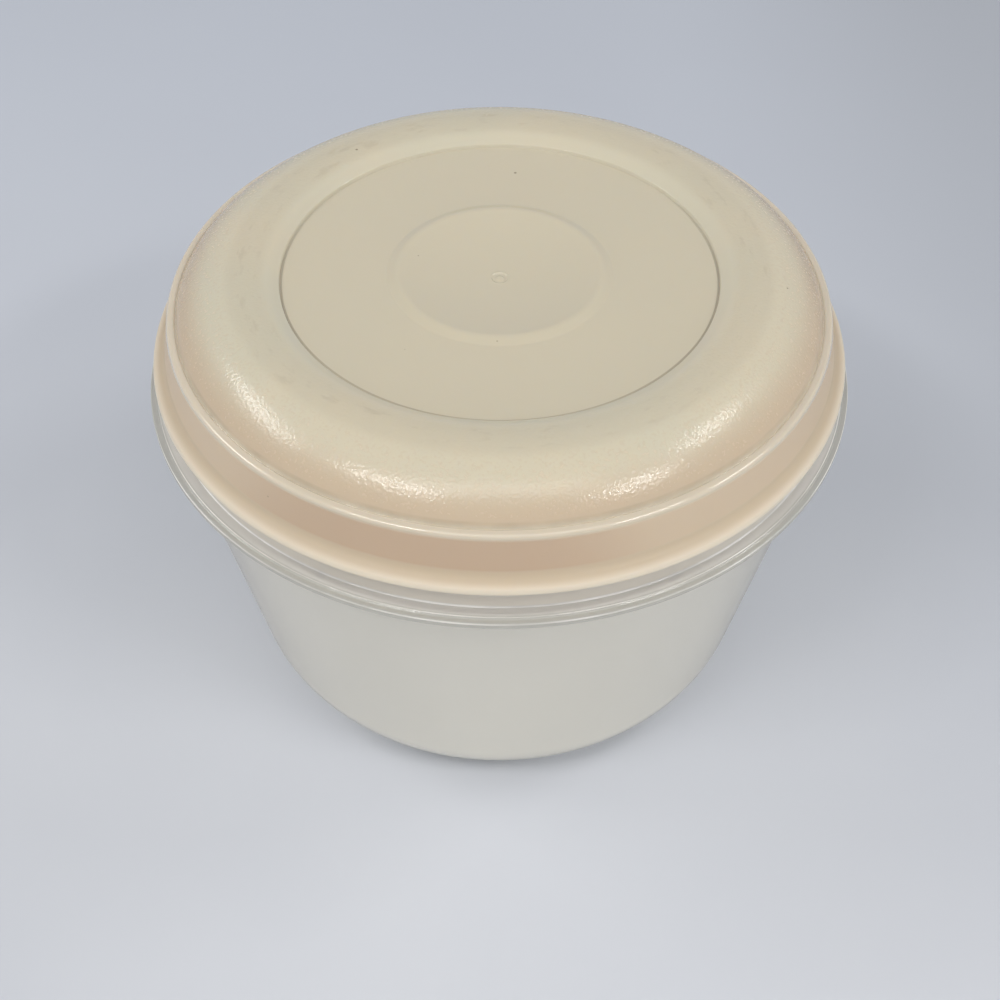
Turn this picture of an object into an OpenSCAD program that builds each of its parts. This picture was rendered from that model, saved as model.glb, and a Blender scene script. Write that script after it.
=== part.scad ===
// Round food storage container. A see-through tub with a rounded base corner and a stepped rim
// is closed by a flexible lid, which presses over the tub's lip and lifts straight off.
// Each is one moulding, turned about +Z. The origin is the middle of the foot, on the table.

/* [Tub] */
// Outer diameter of the upright lip at the mouth
lip_d = 146; // [125:0.5:180]
// Height of the lip's top above the table
tub_h = 89.5; // [70:0.5:130]
// Lean of the wall outwards, in degrees from upright
wall_lean = 10.6; // [5:0.1:13]
// Thickness of the wall and of the lip
wall_t = 1.5; // [1.2:0.05:2]
// Thickness of the floor
floor_t = 1.8; // [1.4:0.05:3]
// Outer radius of the rounded corner between the floor and the wall
corner_r = 19; // [14:0.5:24]

/* [Tub foot] */
// How far the foot ring's outer edge lies outside the start of the rounded corner
foot_out = 6.3; // [5:0.1:8]
// Width of the foot ring
foot_w = 2.6; // [1.5:0.1:4]
// Height of the floor's underside above the table
foot_h = 1.2; // [0.6:0.1:2]

/* [Tub rim] */
// How far the flange stands out from the lip
flange_out = 4; // [3.4:0.1:8]
// Thickness of the flange at its outer edge
flange_t = 1.4; // [1:0.1:2.5]
// Height that the flange's top gains towards the lip
flange_rise = 0.4; // [0.1:0.05:1]
// Distance from the flange's underside to the top of the lip
lip_h = 9.1; // [7:0.1:14]
// Distance of the small step on the flange from the lip
step_out = 2.5; // [1:0.1:2.7]
// Height of that step
step_h = 0.35; // [0.1:0.05:0.6]

/* [Lid skirt] */
// Thickness of the bead at the bottom of the skirt
bead_t = 2; // [1.8:0.05:2.6]
// How far the bead reaches down below the top of the lip
bead_drop = 1.3; // [1:0.1:1.5]
// Rounding of the bead's outer side
bead_round = 1.2; // [0.9:0.05:1.5]
// Slope of the bead's top, in degrees from level
bead_slope = 28; // [22:1:34]
// Radius of the hollow turn between the skirt and the bead
flare_round = 2.1; // [1.4:0.1:3]
// Lean of the skirt below the ledge, in degrees from upright
skirt_lean = 10.3; // [7:0.1:12.5]
// Distance from the lip's outer side inwards to the ledge's outer side
ledge_in = 2; // [1.6:0.05:2.5]
// Width of the ledge, from the groove to its outer side
ledge_w = 1.6; // [1.3:0.1:2]
// Rounding of the ledge's outer edge
ledge_round = 0.7; // [0.4:0.1:1]
// Thickness of the lid's shell and of its sealing rib
lid_t = 1.5; // [1.2:0.05:1.8]
// How far the sealing rib reaches down inside the lip
rib_drop = 6; // [4:0.1:8]

/* [Lid top] */
// Height of the rounded ring's crest above the top of the lip
crest_rise = 18.7; // [17.5:0.1:21]
// Distance from the crest outwards to the ring's edge
dome_w = 14.7; // [13:0.1:16]
// Fall from the crest to the ring's edge
dome_drop = 7.5; // [6.5:0.1:8]
// Step down from the ring's edge to the ledge
ledge_step = 0.7; // [0.3:0.05:1]
// Width of each side of the groove between the ring and the ledge
groove_w = 0.35; // [0.2:0.05:0.5]
// Depth of the groove below the ledge
groove_depth = 0.25; // [0.1:0.05:0.4]
// Distance from the crest inwards to the sunken panel
crest_in = 7.6; // [6.5:0.1:9]
// Run of the slope between the panel and the rounded ring
slope_w = 3.3; // [2.5:0.1:4]
// Depth of the sunken panel below the crest
panel_sink = 2.8; // [2:0.1:3.5]
// Diameter of the raised disc in the middle
disc_d = 48; // [36:1:56]
// Height of the disc's edge above the panel
disc_rise = 0.6; // [0.3:0.1:1]
// Run of the slope around the disc
disc_slope = 2.8; // [1.5:0.1:4]
// How far the disc sags from its edge to its centre
disc_sag = 2.2; // [0.8:0.1:2.6]
// Diameter of the moulding gate's dimple at the centre
gate_d = 4; // [2:0.5:8]
// Depth of that dimple
gate_depth = 0.35; // [0.2:0.05:0.6]

/* [Fit] */
// Clearance between the lid and each side of the lip
side_gap = 0.3; // [0.2:0.05:0.5]
// Clearance between the lip's top and the channel in the lid
seat_gap = 0.1; // [0.05:0.05:0.3]
// Small bevel on edges that show
bevel = 0.3; // [0.15:0.05:0.4]

/* [Hidden] */
$fn = 180;

// Points on an arc about [centre], from angle a0 to angle a1
ARC_STEPS = 14;
EDGE_STEPS = 7;
SAG_STEPS = 6;
function arc(centre, r, a0, a1, steps = ARC_STEPS) =
    [for (i = [0:steps]) let (a = a0 + (a1 - a0) * i / steps) centre + r * [cos(a), sin(a)]];

// Tub, from the lip down
lip_r = lip_d / 2;
lip_in_r = lip_r - wall_t;
lip_round = wall_t / 2;
flange_z = tub_h - lip_h;
flange_r = lip_r + flange_out;
flange_top_z = flange_z + flange_t + flange_rise;
step_r = lip_r + step_out;
// Outer side of the leaning wall at height z, and the same inside
function wall_out(z) = lip_r - (flange_z - z) * tan(wall_lean);
function wall_in(z) = wall_out(z) - wall_t / cos(wall_lean);
wall_in_top_z = flange_z + wall_t * (1 / cos(wall_lean) - 1) / tan(wall_lean);
// Both corner arcs have their centres at one height; the inner one ends on the floor's top
floor_z = foot_h + floor_t;
corner_in_r = corner_r - floor_z;
corner_c = [wall_out(corner_r) - corner_r / cos(wall_lean), corner_r];
corner_in_c = [wall_in(corner_r) - corner_in_r / cos(wall_lean), corner_r];
foot_r = corner_c[0] + foot_out;
foot_turn = asin(foot_out / corner_r);

// Lid skirt: channel over the lip, bead outside it, sealing rib inside it
channel_out_r = lip_r + side_gap;
channel_in_r = lip_in_r - side_gap;
channel_z = tub_h + seat_gap;
rib_in_r = channel_in_r - lid_t;
rib_z = tub_h - rib_drop;
bead_r = channel_out_r + bead_t;
bead_z = tub_h - bead_drop;
bead_c = [bead_r - bead_round, bead_z + bevel];
bead_turn = 90 - bead_slope;
ledge_r = lip_r - ledge_in;
rib_foot = 2 * bevel;
// The channel's corners are cut, as the lip's top is round
channel_cut = wall_t / 3;

// Lid top, from the groove inwards
crest_z = tub_h + crest_rise;
dome_edge_z = crest_z - dome_drop;
ledge_z = dome_edge_z - ledge_step;
ledge_c = [ledge_r - ledge_round, ledge_z - ledge_round];
ledge_in_r = ledge_r - ledge_w;
groove_r = ledge_in_r - groove_w;
groove_z = ledge_z - groove_depth;
dome_edge_r = groove_r - groove_w;
// The hollow turn touches the skirt and the bead's slope. Its centre lies at its radius outside both
function face(angle) = [cos(angle), sin(angle)];
skirt_reach = flare_round + ledge_round + ledge_c * face(skirt_lean);
bead_reach = flare_round + bead_round + bead_c * face(bead_turn);
flare_c = [skirt_reach * sin(bead_turn) - bead_reach * sin(skirt_lean),
           bead_reach * cos(skirt_lean) - skirt_reach * cos(bead_turn)] / sin(bead_turn - skirt_lean);
crest_r = dome_edge_r - dome_w;
dome_r = (pow(dome_w, 2) + pow(dome_drop, 2)) / (2 * dome_drop);
dome_c = [crest_r, crest_z - dome_r];
panel_r = crest_r - crest_in;
panel_z = crest_z - panel_sink;
slope_r = panel_r + slope_w;
disc_r = disc_d / 2;
disc_z = panel_z + disc_rise;
// The disc's sagging top is an arc across disc_top_r
disc_top_r = disc_r - disc_slope;
sag_r = (pow(disc_top_r, 2) + pow(disc_sag, 2)) / (2 * disc_sag);
sag_c = [0, disc_z - disc_sag + sag_r];
gate_r = gate_d / 2;
gate_z = disc_z - disc_sag - gate_depth;
// Angle on an arc of radius r about the axis, below its centre, at distance x
function sag_angle(x, r) = asin(x / r) - 90;
// Angle on the dome's arc of radius r at distance x from the axis
function dome_angle(x, r) = acos((x - crest_r) / r);
// Under the groove the shell's inner side leaves the arc one shell and a bevel early
shell_r = dome_r - lid_t;
shell_edge_r = dome_edge_r - lid_t - bevel;
shell_wall_r = ledge_r - lid_t;
shell_wall_z = groove_z - lid_t - groove_w;

module tub() color([0.86, 0.87, 0.84, 0.6]) rotate_extrude() polygon(concat(
    // Floor's underside and foot ring
    [[0, foot_h], [foot_r - foot_w, foot_h],
     [foot_r - foot_w, bevel], [foot_r - foot_w + bevel, 0], [foot_r - bevel, 0], [foot_r, bevel]],
    // Rounded corner and wall
    arc(corner_c, corner_r, foot_turn - 90, -wall_lean),
    [[lip_r, flange_z]],
    // Flange with its small step
    [[flange_r - bevel, flange_z], [flange_r, flange_z + bevel],
     [flange_r, flange_z + flange_t - bevel], [flange_r - bevel, flange_z + flange_t],
     [step_r + bevel, flange_top_z - step_h], [step_r, flange_top_z], [lip_r, flange_top_z]],
    // Lip
    arc([lip_r - lip_round, tub_h - lip_round], lip_round, 0, 180),
    // Inside of the wall, down to the floor
    [[lip_in_r, wall_in_top_z]],
    arc(corner_in_c, corner_in_r, -wall_lean, -90),
    [[0, floor_z]]
));

module lid() color([0.84, 0.78, 0.66]) rotate_extrude() polygon(concat(
    // Gate dimple, raised disc and sunken panel
    [[0, gate_z], [gate_r - gate_depth, gate_z]],
    arc(sag_c, sag_r, sag_angle(gate_r, sag_r), sag_angle(disc_top_r, sag_r), SAG_STEPS),
    [[disc_r, panel_z], [panel_r, panel_z]],
    // Rounded ring
    arc(dome_c, dome_r, dome_angle(slope_r, dome_r), dome_angle(dome_edge_r, dome_r)),
    // Groove, ledge, skirt, hollow turn and bead
    [[groove_r, groove_z], [ledge_in_r, ledge_z]],
    arc(ledge_c, ledge_round, 90, skirt_lean, EDGE_STEPS),
    arc(flare_c, flare_round, 180 + skirt_lean, 180 + bead_turn, EDGE_STEPS),
    arc(bead_c, bead_round, bead_turn, 0, EDGE_STEPS),
    [[bead_r - bevel, bead_z], [channel_out_r + bevel, bead_z], [channel_out_r, bead_z + bevel]],
    // Channel over the lip and sealing rib
    [[channel_out_r, channel_z - channel_cut], [channel_out_r - channel_cut, channel_z],
     [channel_in_r + channel_cut, channel_z], [channel_in_r, channel_z - channel_cut],
     [channel_in_r, rib_z + rib_foot], [channel_in_r - rib_foot, rib_z],
     [rib_in_r + bevel, rib_z], [rib_in_r, rib_z + bevel]],
    // Inside of the shell
    [[rib_in_r, channel_z], [shell_wall_r, shell_wall_z]],
    arc(dome_c, shell_r, dome_angle(shell_edge_r, shell_r), dome_angle(slope_r, shell_r)),
    [[panel_r, panel_z - lid_t], [disc_r, panel_z - lid_t]],
    arc(sag_c, sag_r + lid_t, sag_angle(disc_top_r, sag_r), -90, SAG_STEPS)
));

tub();
lid();
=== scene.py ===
# %% [markdown]
# # Round food storage container
#
# The object is two mouldings: a see-through, milky tub, and a soft cream lid that presses over its lip. The
# measured model of both is packed already, with the slide that lets the lid come off. This lesson loads
# that model as a fixed frame, works out a finer surface for each moulding in the same place, and gives them
# finishes, light and a camera.

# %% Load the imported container
import math

import bpy
import numpy as np
from mathutils import Matrix


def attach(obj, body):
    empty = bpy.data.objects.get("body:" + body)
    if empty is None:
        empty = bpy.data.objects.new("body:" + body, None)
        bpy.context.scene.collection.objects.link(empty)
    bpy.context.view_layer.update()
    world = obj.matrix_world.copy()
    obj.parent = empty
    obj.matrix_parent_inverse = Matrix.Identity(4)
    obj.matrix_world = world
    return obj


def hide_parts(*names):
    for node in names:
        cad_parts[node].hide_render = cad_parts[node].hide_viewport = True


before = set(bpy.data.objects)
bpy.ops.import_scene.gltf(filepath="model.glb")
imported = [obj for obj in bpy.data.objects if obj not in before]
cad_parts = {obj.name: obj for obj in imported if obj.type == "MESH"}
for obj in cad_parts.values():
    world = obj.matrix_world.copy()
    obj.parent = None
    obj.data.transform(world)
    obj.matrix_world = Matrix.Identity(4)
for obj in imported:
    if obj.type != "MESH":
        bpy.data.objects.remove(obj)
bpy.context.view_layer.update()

# %% [markdown]
# ## Drawing an outline
#
# Both mouldings are round, so each is one outline carried once about the axis. An outline is a list of
# corners with straight runs and arcs between them. Moulded plastic has no knife edges, so each corner is
# softened by a small curve. A Bevel modifier could do that too, but it would have to find the edges again,
# and the outline knows them.

# %% Corners and arcs of an outline
MM = 0.001


def corner(radius, height, cut=0.0):
    """One corner of an outline: its distance from the axis, its height, and the length that the
    rounding takes of each edge."""
    return np.array([[radius, height, cut]])


def arc(centre, radius, start, end, steps):
    """Points at centre + radius (cos a, sin a), for a from start to end in degrees."""
    a = np.radians(np.linspace(start, end, steps + 1))
    return np.stack([centre[0] + radius * np.cos(a), centre[1] + radius * np.sin(a), 0 * a], axis=1)


print("a quarter turn with 4 steps has", len(arc((0, 0), 1, 0, 90, 4)), "points")

# %% An arc between two straight sides


def hollow(side_a, turn_a, side_b, turn_b, radius, steps=14):
    """The hollow arc of that radius that touches two straight sides. A side passes through the point
    p and faces the direction n = (cos turn, sin turn). The centre c lies at the distance radius
    outside both, so it solves c . n = p . n + radius for each side."""
    n = np.array([[math.cos(turn), math.sin(turn)] for turn in np.radians([turn_a, turn_b])])
    centre = np.linalg.solve(n, (n * np.array([side_a, side_b])).sum(axis=1) + radius)
    return arc(centre, radius, 180 + turn_a, 180 + turn_b, steps)


inside_corner = hollow((0, 0), 0, (0, 0), 90, 2.0)[:, :2].round(3)
print("a hollow of 2 mm in a right angle runs from", inside_corner[0], "to", inside_corner[-1])

# %% Softening the corners


def soften(rows, steps=4):
    """Rounds the corners of an outline. A corner P with the cut c becomes
    (1-t)^2 A + 2t(1-t) P + t^2 B for t from 0 to 1, where A and B lie on its two edges at the
    distance c from P. Points that fall together are kept once."""
    p, cut = rows[:, :2], rows[:, 2:]
    before, after = np.roll(p, 1, axis=0) - p, np.roll(p, -1, axis=0) - p
    a = p + before * cut / np.maximum(np.linalg.norm(before, axis=1, keepdims=True), 1e-9)
    b = p + after * cut / np.maximum(np.linalg.norm(after, axis=1, keepdims=True), 1e-9)
    t = np.linspace(0, 1, steps + 1)[None, :, None]
    curves = (1 - t) ** 2 * a[:, None] + 2 * t * (1 - t) * p[:, None] + t**2 * b[:, None]
    points = curves.reshape(-1, 2)
    gaps = np.linalg.norm(np.diff(points, axis=0), axis=1)
    return points[np.concatenate([[True], gaps > 1e-6])]


square = np.concatenate([corner(1, 0, 0.2), corner(2, 0, 0.2), corner(2, 1, 0.2), corner(1, 1, 0.2)])
print("a square with four softened corners has", len(soften(square)), "points")


# %% [markdown]
# ## Carrying the outline round
#
# A point of the surface has two numbers: how far along the outline it is, and the angle that it has been
# carried round. Numpy works out the whole grid at once. Where the outline meets the axis, the grid would
# fold into needles, so those ends are one point each. Real mouldings are never perfectly true, so a slow
# ripple is added to the radius.

# %% Surface of revolution
TURNS = 360


def spin(name, outline, ripple, finish_marks):
    """Point (s, a) is (r cos a, r sin a, z): the outline's radius r and height z at step s, carried
    round by the angle a. ripple(r, z, a) is added to r. The outline runs from the axis to the axis,
    with the solid on its left. Each row of finish_marks gives one number per outline point."""
    r, z = outline[1:-1, 0] * MM, outline[1:-1, 1] * MM
    a = np.linspace(0, 2 * math.pi, TURNS, endpoint=False)
    grid_r = r[:, None] + ripple(r[:, None], z[:, None], a[None, :])
    grid_z = np.broadcast_to(z[:, None], grid_r.shape)
    rings = np.stack([grid_r * np.cos(a), grid_r * np.sin(a), grid_z], axis=-1)
    ends = np.array([[0, 0, outline[0, 1] * MM], [0, 0, outline[-1, 1] * MM]])
    points = np.concatenate([rings.reshape(-1, 3), ends])
    i, j = np.meshgrid(np.arange(len(r) - 1), np.arange(TURNS), indexing="ij")
    k = (j + 1) % TURNS
    this_ring, next_ring = i * TURNS, (i + 1) * TURNS
    quads = np.stack([this_ring + j, this_ring + k, next_ring + k, next_ring + j], axis=-1)
    j, k, last = j[0], k[0], (len(r) - 1) * TURNS
    first_fan = np.stack([np.full(TURNS, len(points) - 2), k, j], axis=-1)
    last_fan = np.stack([np.full(TURNS, len(points) - 1), last + j, last + k], axis=-1)
    mesh = bpy.data.meshes.new(name)
    faces = quads.reshape(-1, 4).tolist() + first_fan.tolist() + last_fan.tolist()
    mesh.from_pydata(points.tolist(), [], faces)
    mesh.polygons.foreach_set("use_smooth", np.ones(len(faces), bool))
    for mark, values in finish_marks.items():
        layer = mesh.attributes.new(mark, "FLOAT", "POINT")
        spread = np.concatenate([np.repeat(values[1:-1], TURNS), values[:1], values[-1:]])
        layer.data.foreach_set("value", spread.astype(np.float32))
    mesh.validate()
    piece = bpy.data.objects.new(name, mesh)
    bpy.context.scene.collection.objects.link(piece)
    triangles = 2 * quads[..., 0].size + 2 * TURNS
    print(f"{name}: {len(outline)} outline points, {triangles} triangles")
    return piece


# %% [markdown]
# ## The tub
#
# The tub is one moulding of milky, see-through plastic. Its wall leans out by a few degrees so that tubs
# stack and leave the mould, its base corner is generously rounded, and a low ring on its underside is its
# foot. Below the mouth it has a flange with a small step, and above that the upright lip that the lid
# grips. The sizes are those of the measured model, in millimetres, and only the mark that the moulding gate
# left under the floor is added.

# %% Outline of the tub
TUB_H, LIP_R, WALL_T = 89.5, 73.0, 1.5
LEAN = 10.6
FLANGE_R, FLANGE_Z, FLANGE_T, FLANGE_TOP_Z = 77.0, 80.4, 1.4, 82.2
STEP_R, STEP_H = 75.5, 0.35
FLOOR_UNDER_Z, FLOOR_Z, CORNER_R, FOOT_OUT, FOOT_W = 1.2, 3.0, 19.0, 6.3, 2.6
NUB_R, NUB_H = 1.5, 0.35
slant = math.cos(math.radians(LEAN))


def wall_outside(height):
    """Radius of the leaning wall's outer side: the lip's radius less the fall below the flange
    times tan(lean)."""
    return LIP_R - (FLANGE_Z - height) * math.tan(math.radians(LEAN))


def wall_inside(height):
    """Radius of its inner side, one thickness in, measured level."""
    return wall_outside(height) - WALL_T / slant


corner_in_r = CORNER_R - FLOOR_Z
outer_centre = (wall_outside(CORNER_R) - CORNER_R / slant, CORNER_R)
inner_centre = (wall_inside(CORNER_R) - corner_in_r / slant, CORNER_R)
foot_r = outer_centre[0] + FOOT_OUT
foot_turn = math.degrees(math.asin(FOOT_OUT / CORNER_R))
wall_in_top_z = FLANGE_Z + WALL_T * (1 / slant - 1) / math.tan(math.radians(LEAN))
tub_outline = soften(np.concatenate([
    # Gate mark under the floor: a small nub in a shallow dimple
    corner(0, FLOOR_UNDER_Z - NUB_H), corner(NUB_R, FLOOR_UNDER_Z - NUB_H, 0.3),
    corner(2.2, FLOOR_UNDER_Z + 0.1, 0.3), corner(4.4, FLOOR_UNDER_Z + 0.25, 0.6),
    # Floor and foot ring
    corner(7, FLOOR_UNDER_Z, 1.2), corner(foot_r - FOOT_W, FLOOR_UNDER_Z, 0.5),
    corner(foot_r - FOOT_W, 0, 0.35), corner(foot_r, 0, 0.3),
    # Rounded corner and wall
    arc(outer_centre, CORNER_R, foot_turn - 90, -LEAN, 30), corner(LIP_R, FLANGE_Z, 0.5),
    # Flange with its small step, and the foot of the lip
    corner(FLANGE_R, FLANGE_Z, 0.35), corner(FLANGE_R, FLANGE_Z + FLANGE_T, 0.4),
    corner(STEP_R + STEP_H, FLANGE_TOP_Z - STEP_H, 0.2), corner(STEP_R, FLANGE_TOP_Z, 0.25),
    corner(LIP_R, FLANGE_TOP_Z, 0.5),
    # Lip
    arc((LIP_R - WALL_T / 2, TUB_H - WALL_T / 2), WALL_T / 2, 0, 180, 12),
    # Inside
    corner(LIP_R - WALL_T, wall_in_top_z, 1.2), arc(inner_centre, corner_in_r, -LEAN, -90, 26),
    corner(0, FLOOR_Z),
]))
tub_z = tub_outline[:, 1]
print("tub outline:", len(tub_outline), "points, from height", tub_z.min(), "to", tub_z.max(), "mm")

# %% [markdown]
# ## The tub's surface
#
# A thin wall is never perfectly round, so it gets a ripple of up to a tenth of a millimetre. The finish
# needs to tell the outer skin from the inner one, because the milkiness is kept to the outer skin. The
# outline knows them apart: its highest point is the top of the lip, and what comes after that is the
# inside. So each point of the mesh carries a number that is 0 outside and 1 inside.

# %% Surface of the tub


def tub_ripple(r, z, a):
    """A slow wave of two and three lobes about the axis, in the wall only: 0.06 mm times sin(2a+1)
    plus 0.04 mm times sin(3a), fading to nothing at the foot and at the flange, where the table and
    the lid have to fit."""
    fade = np.clip((z - 4 * MM) / (20 * MM), 0, 1) * np.clip((78 * MM - z) / (15 * MM), 0, 1)
    return fade * MM * (0.06 * np.sin(2 * a + 1) + 0.04 * np.sin(3 * a))


inner_skin = (np.arange(len(tub_outline)) > tub_z.argmax()).astype(float)
tub_piece = spin("milky_tub", tub_outline, tub_ripple, {"inner_skin": inner_skin})
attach(tub_piece, "tub")
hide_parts("tub")

# %% [markdown]
# ## The lid
#
# The lid is one moulding of softer, cream plastic, about a millimetre and a half thick in most places. From
# the middle out it has the mark of the moulding gate, a disc that has sagged a little as it cooled, a flat
# sunken panel, a broad rounded ring, a narrow groove, a polished ledge, and a leaning skirt that turns out
# into a thick bead. Underneath, a channel takes the tub's lip, and a rib inside it seals against the mouth.
# Its main sizes are those of the measured model. A few small forms differ from it a little, to come closer
# to the real lid: the gate's mark, the disc, the skirt's flare, and the slope between ring and panel.

# %% Sizes of the lid
LID_T = 1.5
CREST_R, CREST_Z, DOME_W, DOME_DROP = 54.0, 108.2, 14.7, 7.5
PANEL_R, PANEL_Z, SLOPE_R = 46.4, 105.4, 49.0
DISC_R, DISC_TOP_R, DISC_Z, DISC_SAG = 24.0, 21.8, 106.2, 2.4
LEDGE_R, LEDGE_Z, LEDGE_W, LEDGE_ROUND, SKIRT_LEAN = 71.0, 100.0, 1.6, 0.7, 10.3
BEAD_R, BEAD_Z, BEAD_ROUND, BEAD_SLOPE, FLARE_ROUND = 75.3, 88.2, 1.2, 28, 2.5
STEEP_W, STEEP_H = 0.25, 0.75
GROOVE_W, GROOVE_DEPTH, LEDGE_STEP, EDGE = 0.35, 0.25, 0.7, 0.3
CHANNEL_OUT_R, CHANNEL_IN_R, CHANNEL_Z = 73.3, 71.2, 89.6
RIB_IN_R, RIB_Z = 69.7, 83.5
print("the lid reaches from", RIB_Z, "to", CREST_Z, "mm")

# %% Arcs of the lid: dome, ledge, bead and sagging disc
dome_size = (DOME_W**2 + DOME_DROP**2) / (2 * DOME_DROP)
dome_centre = (CREST_R, CREST_Z - dome_size)
dome_edge_r = CREST_R + DOME_W
groove_r, groove_z = dome_edge_r + GROOVE_W, LEDGE_Z - GROOVE_DEPTH
ledge_centre = np.array([LEDGE_R - LEDGE_ROUND, LEDGE_Z - LEDGE_ROUND])
bead_centre = np.array([BEAD_R - BEAD_ROUND, BEAD_Z + EDGE])
bead_turn = 90 - BEAD_SLOPE
skirt_side = arc(ledge_centre, LEDGE_ROUND, SKIRT_LEAN, SKIRT_LEAN, 1)[0, :2]
bead_side = arc(bead_centre, BEAD_ROUND, bead_turn, bead_turn, 1)[0, :2]
sag_r = (DISC_TOP_R**2 + DISC_SAG**2) / (2 * DISC_SAG)
sag_centre = (0, DISC_Z - DISC_SAG + sag_r)


def dome_angle(radius, size=dome_size):
    """Angle on the dome's arc of that size at that distance from the axis."""
    return math.degrees(math.acos((radius - CREST_R) / size))


def sag_angle(radius):
    """Angle on the sagging disc's arc at that distance from the axis."""
    return math.degrees(math.asin(radius / sag_r)) - 90


print(f"radii of the arcs: dome {dome_size:.2f} mm, sagging disc {sag_r:.1f} mm")

# %% Outline of the lid's top
gate_z = DISC_Z - DISC_SAG
slope_z = dome_centre[1] + dome_size * math.sin(math.radians(dome_angle(SLOPE_R)))
lid_top = np.concatenate([
    # Gate mark: a small nub in a ring
    corner(0, gate_z + 0.05), corner(0.6, gate_z + 0.05, 0.2), corner(0.95, gate_z - 0.16, 0.2),
    corner(1.55, gate_z - 0.16, 0.15), corner(1.85, gate_z + 0.1, 0.12),
    corner(2.2, gate_z + 0.04, 0.1),
    # Sagging disc and its slope, then the sunken panel
    arc(sag_centre, sag_r, sag_angle(2.6), sag_angle(DISC_TOP_R - 0.9), 16),
    corner(DISC_TOP_R, DISC_Z, 0.8), corner(DISC_R, PANEL_Z, 0.3),
    # Short steep foot of the slope, and the rounded ring
    corner(PANEL_R, PANEL_Z, 0.05), corner(PANEL_R + STEEP_W, PANEL_Z + STEEP_H, 0.12),
    corner(SLOPE_R, slope_z, 0.9),
    arc(dome_centre, dome_size, dome_angle(SLOPE_R + 1), dome_angle(dome_edge_r - 0.1), 44),
    corner(dome_edge_r, LEDGE_Z + LEDGE_STEP, 0.08),
    # Groove, ledge, skirt and bead
    corner(groove_r, groove_z, 0.12), corner(LEDGE_R - LEDGE_W, LEDGE_Z, 0.15),
    arc(ledge_centre, LEDGE_ROUND, 90, SKIRT_LEAN, 12),
    hollow(skirt_side, SKIRT_LEAN, bead_side, bead_turn, FLARE_ROUND),
    arc(bead_centre, BEAD_ROUND, bead_turn, 0, 14),
    corner(BEAD_R, BEAD_Z, 0.28), corner(CHANNEL_OUT_R, BEAD_Z, 0.3),
])
print("top of the lid:", len(lid_top), "rows before softening")

# %% Outline of the lid's underside, and the whole
shell_r, shell_wall_r = dome_size - LID_T, LEDGE_R - LID_T
shell_start = dome_angle(dome_edge_r - LID_T - EDGE, shell_r)
lid_under = np.concatenate([
    # Channel over the lip, and the sealing rib
    corner(CHANNEL_OUT_R, CHANNEL_Z, 0.55), corner(CHANNEL_IN_R, CHANNEL_Z, 0.3),
    corner(CHANNEL_IN_R, RIB_Z, 0.6), corner(RIB_IN_R, RIB_Z, 0.3),
    # Inside of the shell
    corner(RIB_IN_R, CHANNEL_Z, 1.0), corner(shell_wall_r, groove_z - LID_T - GROOVE_W, 0.5),
    arc(dome_centre, shell_r, shell_start, dome_angle(SLOPE_R, shell_r), 24),
    corner(PANEL_R, PANEL_Z - LID_T, 0.5), corner(DISC_R, PANEL_Z - LID_T, 0.9),
    arc(sag_centre, sag_r + LID_T, sag_angle(DISC_TOP_R), sag_angle(0.4), 12),
    corner(0, gate_z - LID_T),
])
# The top runs outwards and the underside runs back to the axis. spin() wants the solid on the left, so the
# whole outline is turned round and starts underneath
top_points, under_points = soften(lid_top), soften(lid_under)
lid_outline = np.concatenate([top_points, under_points])[::-1]
print("lid outline:", len(lid_outline), "points, highest", lid_outline[:, 1].max().round(2), "mm")

# %% [markdown]
# ## The lid's surface
#
# The broad ring has a fine grain, which comes from the surface of the mould, and the rest of the lid has
# none. That belongs to the outline, so each outline point carries a number from 0 to 1 that says how grainy
# the plastic is there. The finish reads it as an attribute, which stays with the mesh wherever the lid
# goes.

# %% Where the grain is, and the surface of the lid
is_top = np.arange(len(lid_outline)) >= len(under_points)
lid_r, lid_z = lid_outline[:, 0], lid_outline[:, 1]
ring_edges = [SLOPE_R - 0.5, SLOPE_R + 1.5, dome_edge_r - 0.8, dome_edge_r - 0.2]
on_ring = np.interp(lid_r, ring_edges, [0, 1, 1, 0])
grain = np.where(is_top & (lid_z > LEDGE_Z + 0.5), on_ring, 0.0)
print("grainy outline points:", int((grain > 0.5).sum()), "of", len(grain))


def lid_ripple(r, z, a):
    """The soft lid is a little out of true: 0.08 mm times sin(2a+0.6) plus 0.05 mm times sin(5a), on
    the dome and the outer part of the panel. It fades to nothing towards the disc, and at the ledge, so
    that the fit on the tub stays."""
    fade = np.clip((z - 101 * MM) / (3 * MM), 0, 1) * np.clip((r - 30 * MM) / (20 * MM), 0, 1)
    return fade * MM * (0.08 * np.sin(2 * a + 0.6) + 0.05 * np.sin(5 * a))


lid_piece = spin("cream_lid", lid_outline, lid_ripple, {"grain": grain})
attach(lid_piece, "lid")
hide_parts("lid")

# %% [markdown]
# ## Writing finishes as sums
#
# A finish is a small sum: a colour here, more roughness there, a bump where the grain is. Drawn as nodes,
# such sums get long. The class below wraps one socket, so that Python's own signs add the Math nodes, and
# one method adds every other kind of node. Masks can then be written the way they are thought of, such as
# 1 - mask for all that lies outside a mask.

# %% A socket that can be reckoned with


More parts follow.
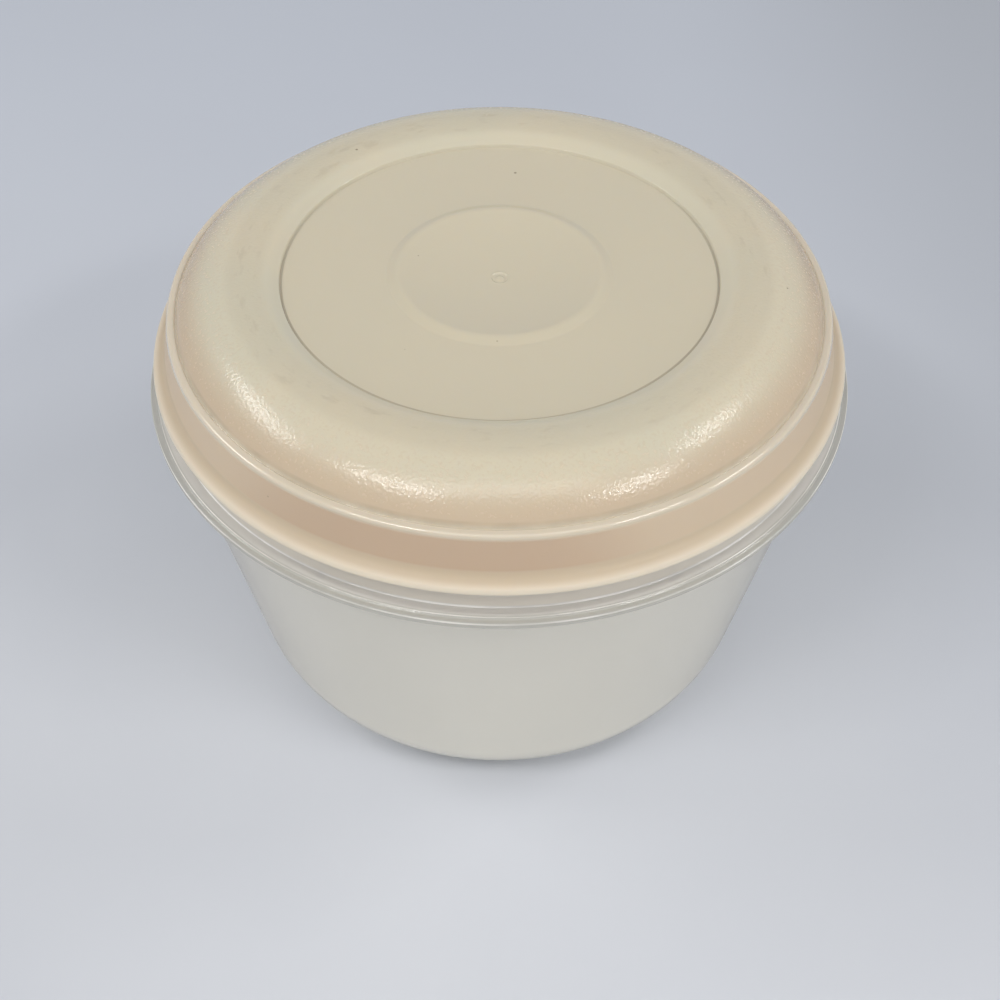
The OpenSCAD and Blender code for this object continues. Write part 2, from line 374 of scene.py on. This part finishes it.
class Wire:
    """One output socket of a node tree. Signs between wires add Math nodes, and node() adds any
    other node."""

    def __init__(self, tree, socket=None):
        self.tree, self.socket = tree, socket

    def node(self, kind, settings=None, inputs=None, out=0):
        """Adds a node: its settings first, then the values or wires of its inputs. Returns the wire
        of its output."""
        made = self.tree.nodes.new(kind)
        for name, value in (settings or {}).items():
            setattr(made, name, value)
        for name, value in (inputs or {}).items():
            if isinstance(value, Wire):
                self.tree.links.new(value.socket, made.inputs[name])
            else:
                made.inputs[name].default_value = value
        return Wire(self.tree, made.outputs[out])

    def maths(self, operation, a, b):
        """Adds a Math node that does that operation on a and b."""
        return self.node("ShaderNodeMath", {"operation": operation}, {0: a, 1: b})

    def __add__(self, other): return self.maths("ADD", self, other)
    def __radd__(self, other): return self.maths("ADD", other, self)
    def __sub__(self, other): return self.maths("SUBTRACT", self, other)
    def __rsub__(self, other): return self.maths("SUBTRACT", other, self)
    def __mul__(self, other): return self.maths("MULTIPLY", self, other)
    def __rmul__(self, other): return self.maths("MULTIPLY", other, self)
    def __truediv__(self, other): return self.maths("DIVIDE", self, other)
    def __pow__(self, other): return self.maths("POWER", self, other)

    def step(self, low, high):
        """Rises smoothly from 0 at low to 1 at high. With low above high it falls."""
        return self.node(
            "ShaderNodeMapRange", {"interpolation_type": "SMOOTHSTEP"}, {"Value": self, 1: low, 2: high}
        )

    def band(self, low, high, soft):
        """1 between low and high, falling to 0 over the distance soft on each side."""
        return self.step(low - soft, low) * self.step(high + soft, high)

    def blend(self, a, b):
        """Colour a where this wire is 0, and colour b where it is 1."""
        return self.node("ShaderNodeMix", {"data_type": "RGBA"}, {0: self, 6: a, 7: b}, out=2)


# %% Colours, and the start and end of a finish


def paint(red, green, blue):
    """A colour as a paint chart gives it, from 0 to 255, turned into the linear numbers that light
    adds up in: c/12.92 below 0.04, and ((c + 0.055) / 1.055)^2.4 above."""
    c = np.array([red, green, blue]) / 255
    return tuple(np.where(c < 0.04045, c / 12.92, ((c + 0.055) / 1.055) ** 2.4).tolist()) + (1.0,)


def start_finish(name):
    """A new material, and a wire to build its sums from."""
    material = bpy.data.materials.new(name)
    material.use_nodes = True
    material.node_tree.nodes.clear()
    return material, Wire(material.node_tree)


def end_finish(material, surface):
    """Joins the surface to the material's output."""
    out = material.node_tree.nodes.new("ShaderNodeOutputMaterial")
    material.node_tree.links.new(surface.socket, out.inputs["Surface"])
    print(material.name, "has", len(material.node_tree.nodes), "nodes")


# %% [markdown]
# ## Finish of the lid
#
# The cream plastic is slightly waxy: light goes a little way in and comes out softer, which is what
# Subsurface does. The ring sparkles, because its grain turns each small spot of the surface another way, so
# a bump of grains under a millimetre wide makes it, and the pits between them are a little duller and are
# painted darker, as painted shade. A coat would lie smooth over that bump and mirror the lamps sharply, so
# the ring has none: the ledge has a full coat, and the panel, the disc and the underside a faint one. Grey
# rub marks run along the crest, which is what touches first when something stands on the lid. The crest
# band and the panel are also painted a little darker, as painted shade of the flat top. There is a faint
# patchy darker line in the groove, a painted shade line along the panel's edge except at the back, and a
# few dark specks. The outer foot of the ring and the skirt have a warmer tone than the rest. Towards the
# front the skirt is painted browner, as painted warm bounced light, and the bead's rounded edge is painted
# lighter, as a painted highlight.

# %% Where a point of the lid is
material, w = start_finish("cream_plastic")
place = w.node("ShaderNodeTexCoord", out=3)
x, y, z = (w.node("ShaderNodeSeparateXYZ", None, {"Vector": place}, out=i) for i in range(3))
radius = (x * x + y * y) ** 0.5
grainy = w.node("ShaderNodeAttribute", {"attribute_name": "grain"}, out=2)


def cloud(scale, detail, roughness=0.5, at=None):
    """Noise from 0 to 1 about a half, with about that many lumps to a metre."""
    return w.node(
        "ShaderNodeTexNoise", None,
        {"Vector": at or place, "Scale": scale, "Detail": detail, "Roughness": roughness},
    )


# %% Colours of the lid
cream, cream_cool = paint(209, 199, 175), paint(205, 198, 176)
warm, brown, bead_slope_tone = paint(206, 184, 157), paint(193, 165, 138), paint(196, 176, 149)
low_tone, ledge_tone = paint(198, 176, 149), paint(213, 200, 178)
panel_shade_tone, bead_highlight_tone = paint(202, 192, 168), paint(223, 211, 192)
rub_and_shade_tone, dark_line_tone, dark = paint(176, 163, 141), paint(146, 134, 113), paint(104, 88, 72)
print("cream in linear light:", [round(c, 3) for c in cream[:3]])

# %% Zones of the lid, each a mask from 0 to 1
# Faces the front, where the skirt gets its painted warm bounced light
front = (-0.98 * y - 0.2 * x).step(56 * MM, 70 * MM)
mottle = cloud(28, 2).step(0.35, 0.65)
skirt = radius.step(68.6 * MM, 69.2 * MM)
wall = skirt * z.band(92.2 * MM, 98.4 * MM, 1.2 * MM)
bead_slope = skirt * z.band(89.6 * MM, 91.2 * MM, 1.0 * MM)
low_ring = radius.step(61.5 * MM, 68 * MM) * (1 - skirt)
crest_zone = (51.5 * MM, 56 * MM)
crest_shade = radius.band(*crest_zone, 3 * MM)
panel = radius.step(47 * MM, 46 * MM)
# Here a step outwards counts as three steps along the ring, so noise read at this place is drawn out along
# the ring
round_ring = w.node("ShaderNodeCombineXYZ", None, {
    0: x / radius * CREST_R * MM, 1: y / radius * CREST_R * MM, 2: 3 * radius,
})
crest_rub = radius.band(*crest_zone, 2 * MM) * cloud(150, 4, 0.6, round_ring).step(0.54, 0.7)
spots = w.node("ShaderNodeTexVoronoi", None, {"Vector": place, "Scale": 85.0})
specks = spots.step(0.035, 0.022)
in_groove = radius.band(68.55 * MM, 68.85 * MM, 0.3 * MM) * z.step(101.4 * MM, 100.9 * MM)
# Painted shade along the panel's edge, where the steep foot of the ring's slope shades it, except at the
# back. In front, the steep foot of the ring's slope hides the panel's edge, and the line moves in by 0.45
# mm
line_r = radius + 0.45 * MM * (-1 * y).step(10 * MM, 38 * MM)
panel_edge_shade = line_r.band(46.1 * MM, 46.5 * MM, 0.12 * MM) * (-1 * y).step(-38 * MM, 5 * MM)
panel_edge_shade = panel_edge_shade * z.step(104 * MM, 105 * MM)
bead_round = skirt * z.step(90.2 * MM, 89.4 * MM)
polished = 1 - grainy
grains = cloud(1500, 1)
pits = grainy * grains.step(0.5, 0.32) * radius.step(55 * MM, 62 * MM)
print("zones of the lid:", len(w.tree.nodes), "nodes so far")

# %% Colour of the lid, from the broad tones to the small marks
colour = mottle.blend(cream, cream_cool)
# The panel is painted darker than the cream: painted shade of the flat top
colour = (0.8 * panel).blend(colour, panel_shade_tone)
# The skirt's wall has a warmer tone, and towards the front it is painted browner: painted warm bounced
# light
colour = (0.85 * wall).blend(colour, front.blend(warm, brown))
# The bead's slope has a browner tone
colour = (0.85 * bead_slope).blend(colour, bead_slope_tone)
# The bead's rounded edge is painted lighter: a painted highlight
colour = (0.8 * bead_round).blend(colour, bead_highlight_tone)
colour = (0.8 * low_ring).blend(colour, low_tone)
colour = (skirt * z.step(98.9 * MM, 99.6 * MM)).blend(colour, ledge_tone)
# A faint patchy darker line in the groove
colour = (0.25 * in_groove * cloud(120, 3).step(0.25, 0.7)).blend(colour, dark_line_tone)
# Painted shade along the panel's edge, at the front and the sides
colour = (0.5 * panel_edge_shade).blend(colour, dark_line_tone)
# The crest band is painted a little darker as painted shade of the flat top; the patchy marks over it are
# grey rub marks
colour = (0.2 * crest_shade).blend(colour, rub_and_shade_tone)
colour = (0.28 * crest_rub).blend(colour, rub_and_shade_tone)
colour = (0.65 * specks).blend(colour, dark)
# The grain's pits are painted darker: painted shade of the grain
colour = (0.3 * pits).blend(colour, low_tone)
print("with the colour:", len(w.tree.nodes), "nodes")

# %% Gloss and grain of the lid
roughness = 0.13 * polished + 0.3 * (wall + bead_slope) + 0.15 * bead_round
roughness = roughness + 0.17 * grainy + 0.12 * pits + 0.1 * crest_rub
coat = 0.3 * polished * (1 - skirt) + skirt * z.step(98.6 * MM, 99.2 * MM)
relief = 0.7 * grains * grainy + 0.25 * cloud(160, 2)
bump = w.node("ShaderNodeBump", None, {"Strength": 1.0, "Distance": 0.1 * MM, "Height": relief})
surface = w.node("ShaderNodeBsdfPrincipled", {"subsurface_method": "RANDOM_WALK"}, {
    "Base Color": colour, "Roughness": roughness, "Normal": bump, "IOR": 1.5,
    "Subsurface Weight": 0.15, "Subsurface Scale": 0.003, "Subsurface Radius": (1.0, 0.7, 0.4),
    "Coat Weight": coat, "Coat Roughness": 0.05, "Coat IOR": 1.6,
})
end_finish(material, surface)
lid_piece.data.materials.append(material)

# %% [markdown]
# ## Finish of the tub
#
# Milky plastic lets light through but scatters it, so what is behind the wall is only guessed at. Glass
# with a rough surface would do that too, but it stops the lamps' light, and the wall would turn dark. Here
# each point is partly milky, which is white scatter with some light let through, and partly clear, which is
# open to what is behind it and mirrors more the more it is seen from the side, as every smooth plastic
# does. The scatter happens once, in the outer skin, so the inner skin is all clear. The flange is clearer
# than the wall. Beyond its step its milky part is painted grey, as painted shade of what lies behind it,
# and its edges are painted whiter in patches, as painted glints of the lamps. On the real tub the lid's rib
# shows through the lip as a cream band. A clear lip came out dark here, because hardly any light gets in
# between lid and tub, so the lip is made milkier than the flange and faintly cream instead.

# %% Where the tub is milky, clear or scuffed
material, w = start_finish("milky_plastic")
place = w.node("ShaderNodeTexCoord", out=3)
x, y, z = (w.node("ShaderNodeSeparateXYZ", None, {"Vector": place}, out=i) for i in range(3))
radius = (x * x + y * y) ** 0.5
haze = cloud(22, 2).step(0.3, 0.7)
low = z.step(6 * MM, 2 * MM)
rim = z.step(79.6 * MM, 81.0 * MM)
lip = z.step(82.3 * MM, 82.8 * MM)
flange = rim * radius.step(74.9 * MM, 75.5 * MM)
inner = w.node("ShaderNodeAttribute", {"attribute_name": "inner_skin"}, out=2)
# The four edges that are painted whiter, as painted glints of the lamps
foot_of_lip = radius.band(73.05 * MM, 73.2 * MM, 0.12 * MM)
step_edge = radius.band(75.4 * MM, 75.5 * MM, 0.12 * MM)
upper_edge = z.band(81.6 * MM, 81.75 * MM, 0.15 * MM)
lower_edge = z.band(80.4 * MM, 80.5 * MM, 0.15 * MM)
edges = foot_of_lip + step_edge + radius.step(76.7 * MM, 76.9 * MM) * (upper_edge + lower_edge)
painted_glint = edges * rim * (1 - lip) * (0.35 + 0.5 * cloud(45, 2).step(0.4, 0.6))
# How much of the surface is milky. The rest is clear
milk_share = (0.91 - 0.35 * rim + 0.18 * lip + 0.44 * painted_glint) * (1 - inner)
print("zones of the tub:", len(w.tree.nodes), "nodes so far")

# %% Milky plastic
milk = haze.blend(paint(253, 249, 235), paint(250, 246, 232))
milk = rim.blend(milk, paint(242, 240, 238))
# Beyond the step the flange's milky part is painted grey: painted shade of what lies behind the clear
# plastic
milk = flange.blend(milk, paint(187, 187, 181))
milk = lip.blend(milk, paint(250, 242, 230))
# Painted glints: the edges are painted near white, in patches
milk = painted_glint.blend(milk, paint(255, 253, 250))
bump = w.node("ShaderNodeBump", None, {"Strength": 1.0, "Distance": 0.03 * MM, "Height": cloud(70, 2)})
solid = w.node("ShaderNodeBsdfPrincipled", None, {
    "Base Color": milk, "Roughness": 0.35, "Normal": bump, "IOR": 1.49,
    "Coat Weight": 1.0, "Coat Roughness": 0.04, "Coat IOR": 1.49,
})
glow = w.node("ShaderNodeBsdfTranslucent", None, {"Color": paint(250, 245, 233), "Normal": bump})
milky = w.node("ShaderNodeMixShader", None, {0: 0.26 - 0.12 * low, 1: solid, 2: glow})
see_through = w.node("ShaderNodeBsdfTransparent", None, {"Color": paint(251, 250, 248)})
shine = w.node("ShaderNodeBsdfGlossy", None, {
    "Color": paint(255, 255, 255), "Roughness": 0.06, "Normal": bump,
})
facing = w.node("ShaderNodeLayerWeight", None, {"Blend": 0.5, "Normal": bump}, out=1)
mirrored = 0.06 + 0.94 * facing**5.0
clear = w.node("ShaderNodeMixShader", None, {0: mirrored, 1: see_through, 2: shine})
surface = w.node("ShaderNodeMixShader", None, {0: milk_share, 1: clear, 2: milky})
end_finish(material, surface)
tub_piece.data.materials.append(material)

# %% [markdown]
# ## Table
#
# The container stands on a pale table with a cool tone. It is one large flat disc. Its colour is painted
# lighter towards the front, as painted light, and painted shadows lie behind the container on the right and
# in front of it on the left. A backdrop would stand in the way when the camera goes round, so the table is
# simply large. Far out, where the lamps' light falls off, what is seen of it fades into the pale colour
# that the world has behind it.

# %% Shape of the table
TABLE_R, TABLE_TURNS = 4.0, 96
rings_r = np.array([0.15, 0.4, 1.0, 2.0, TABLE_R])
a = np.linspace(0, 2 * math.pi, TABLE_TURNS, endpoint=False)
rings = [np.stack([r * np.cos(a), r * np.sin(a), 0 * a], axis=-1) for r in rings_r]
points = np.concatenate(rings + [np.zeros((1, 3))])
i, j = np.meshgrid(np.arange(len(rings_r) - 1), np.arange(TABLE_TURNS), indexing="ij")
k = (j + 1) % TABLE_TURNS
this_ring, next_ring = i * TABLE_TURNS, (i + 1) * TABLE_TURNS
quads = np.stack([this_ring + j, next_ring + j, next_ring + k, this_ring + k], axis=-1)
middle = np.stack([np.full(TABLE_TURNS, len(points) - 1), j[0], k[0]], axis=-1)
mesh = bpy.data.meshes.new("table")
mesh.from_pydata(points.tolist(), [], quads.reshape(-1, 4).tolist() + middle.tolist())
table = bpy.data.objects.new("table", mesh)
bpy.context.scene.collection.objects.link(table)
print(f"table: {len(mesh.polygons)} faces, {2 * TABLE_R:.0f} m across")

# %% Finish of the table
BACKGROUND = paint(192, 196, 204)


def seen_directly(w):
    """1 for what the camera sees, also in a mirror or through clear plastic, and 0 for light that
    is scattered."""
    kinds = ("Is Camera Ray", "Is Glossy Ray", "Is Transmission Ray")
    camera_ray, glossy_ray, through_ray = (w.node("ShaderNodeLightPath", out=kind) for kind in kinds)
    return (camera_ray + glossy_ray + through_ray).step(0.0, 0.5)


material, w = start_finish("pale_table")
place = w.node("ShaderNodeTexCoord", out=3)
x, y, z = (w.node("ShaderNodeSeparateXYZ", None, {"Vector": place}, out=i) for i in range(3))
# Painted light: the table is lighter towards the front
painted_light_front = (-1 * y).step(-0.3, 0.25)
patches = cloud(6, 3).step(0.3, 0.7)
colour = painted_light_front.blend(paint(200, 205, 215), paint(218, 220, 225))
colour = (0.25 * patches).blend(colour, paint(192, 196, 206))
# Painted shadows of the container: behind it on the right, and in front of it on the left
painted_shadow_right = 0.95 * x.step(0.05, 0.2) * y.step(-0.08, 0.08)
painted_shadow_left = 0.5 * x.step(-0.05, -0.16) * y.step(-0.04, -0.12)
colour = (painted_shadow_right + painted_shadow_left).blend(colour, paint(184, 188, 196))
top = w.node("ShaderNodeBsdfPrincipled", None, {
    "Base Color": colour, "Roughness": 0.6, "Specular IOR Level": 0.3,
})
distant = w.node("ShaderNodeEmission", None, {"Color": BACKGROUND, "Strength": 1.0})
fade = ((x * x + y * y) ** 0.5).step(0.45, 1.1) * seen_directly(w)
surface = w.node("ShaderNodeMixShader", None, {0: fade, 1: top, 2: distant})
end_finish(material, surface)
table.data.materials.append(material)

# %% [markdown]
# ## Light
#
# The highlights on the ring say where the light comes from: two soft windows on the left and two on the
# right, about halfway up, and a dim broad patch of ceiling above the camera. The room round about fills the
# shadows. It is brighter towards the walls than overhead, because the skirt and the tub's wall are lit
# about as well as the top. A surface facing a lamp of power P at the distance d gets P / d^2 / pi^2 of the
# brightness that shows a colour as it is written.

# %% Soft windows and ceiling
TARGET = np.array([0, 0, 0.09])


def window(name, azimuth, elevation, width, height, power, distance=1.0):
    """A soft rectangular lamp. Its direction from the container is
    (sin az cos el, -cos az cos el, sin el), so azimuth 0 is the camera's side and 90 the right."""
    az, el = math.radians(azimuth), math.radians(elevation)
    away = np.array([math.sin(az) * math.cos(el), -math.cos(az) * math.cos(el), math.sin(el)])
    lamp = bpy.data.lights.new(name, "AREA")
    lamp.shape, lamp.size, lamp.size_y, lamp.energy = "RECTANGLE", width, height, power
    lamp.color = (1.0, 0.985, 0.96)
    holder = bpy.data.objects.new(name, lamp)
    bpy.context.scene.collection.objects.link(holder)
    side = np.array([math.cos(az), math.sin(az), 0])
    up = np.cross(away, side)
    turn = np.eye(4)
    turn[:3, 0], turn[:3, 1], turn[:3, 2], turn[:3, 3] = side, up, away, TARGET + away * distance
    holder.matrix_world = Matrix(turn.tolist())
    level = power * math.sin(el) / distance**2 / math.pi**2
    print(f"{name}: level on the table {level:.2f}")


window("window_left", -98, 40, 0.44, 0.15, 1.8)
window("window_left_front", -44, 52, 0.38, 0.09, 1.7)
window("window_right_front", 50, 43, 0.3, 0.09, 1.5)
window("window_right", 94, 48, 0.3, 0.09, 1.15)
window("ceiling_front", 0, 64, 0.9, 0.3, 2.2, 1.2)

# %% The room round about
world = bpy.data.worlds.new("room")
world.use_nodes = True
world.node_tree.nodes.clear()
bpy.context.scene.world = world
w = Wire(world.node_tree)
towards = w.node("ShaderNodeTexCoord")
side, depth, height = (w.node("ShaderNodeSeparateXYZ", None, {"Vector": towards}, out=i) for i in range(3))
room = (0.08 + 0.74 * (1 - height * height)) * (1 + 0.15 * side - 0.35 * depth)
sky = w.node("ShaderNodeBackground", None, {"Color": (0.95, 0.97, 1.0, 1.0), "Strength": room})
pale = w.node("ShaderNodeBackground", None, {"Color": BACKGROUND, "Strength": 1.0})
both = w.node("ShaderNodeMixShader", None, {0: seen_directly(w), 1: sky, 2: pale})
out = world.node_tree.nodes.new("ShaderNodeOutputWorld")
world.node_tree.links.new(both.socket, out.inputs["Surface"])
print("room:", len(world.node_tree.nodes), "nodes")

# %% [markdown]
# ## Camera
#
# The camera stands where the photograph was taken from: it was solved from the circles of the lid and the
# outline of the tub. It looks down by about 46 degrees, and its focal length is 1550 of the 1000 pixels
# that the frame is wide. Three directions fix how it is turned: where it looks, what is right and what is
# up.

# %% Camera at the photograph's place
SENSOR_W, CAMERA_AT = 36.0, np.array([-1.02, -261.78, 310.70])
PITCH, YAW, ROLL = math.radians(46.476), math.radians(0.29), math.radians(0.308)
LOOK = np.array([math.sin(YAW) * math.cos(PITCH), math.cos(YAW) * math.cos(PITCH), -math.sin(PITCH)])
flat_right = np.array([math.cos(YAW), -math.sin(YAW), 0])
flat_up = np.cross(flat_right, LOOK)
right = math.cos(ROLL) * flat_right + math.sin(ROLL) * flat_up
up = -math.sin(ROLL) * flat_right + math.cos(ROLL) * flat_up
camera_data = bpy.data.cameras.new("camera")
camera_data.sensor_width, camera_data.lens = SENSOR_W, 1550 / 1000 * SENSOR_W
camera_data.clip_start, camera_data.clip_end = 0.01, 20
camera = bpy.data.objects.new("camera", camera_data)
bpy.context.scene.collection.objects.link(camera)
turn = np.eye(4)
turn[:3, 0], turn[:3, 1], turn[:3, 2], turn[:3, 3] = right, up, -LOOK, CAMERA_AT * MM
camera.matrix_world = Matrix(turn.tolist())
bpy.context.scene.camera = camera
bpy.context.scene.view_settings.view_transform = "Standard"
print("camera lens:", round(camera_data.lens, 2), "mm")
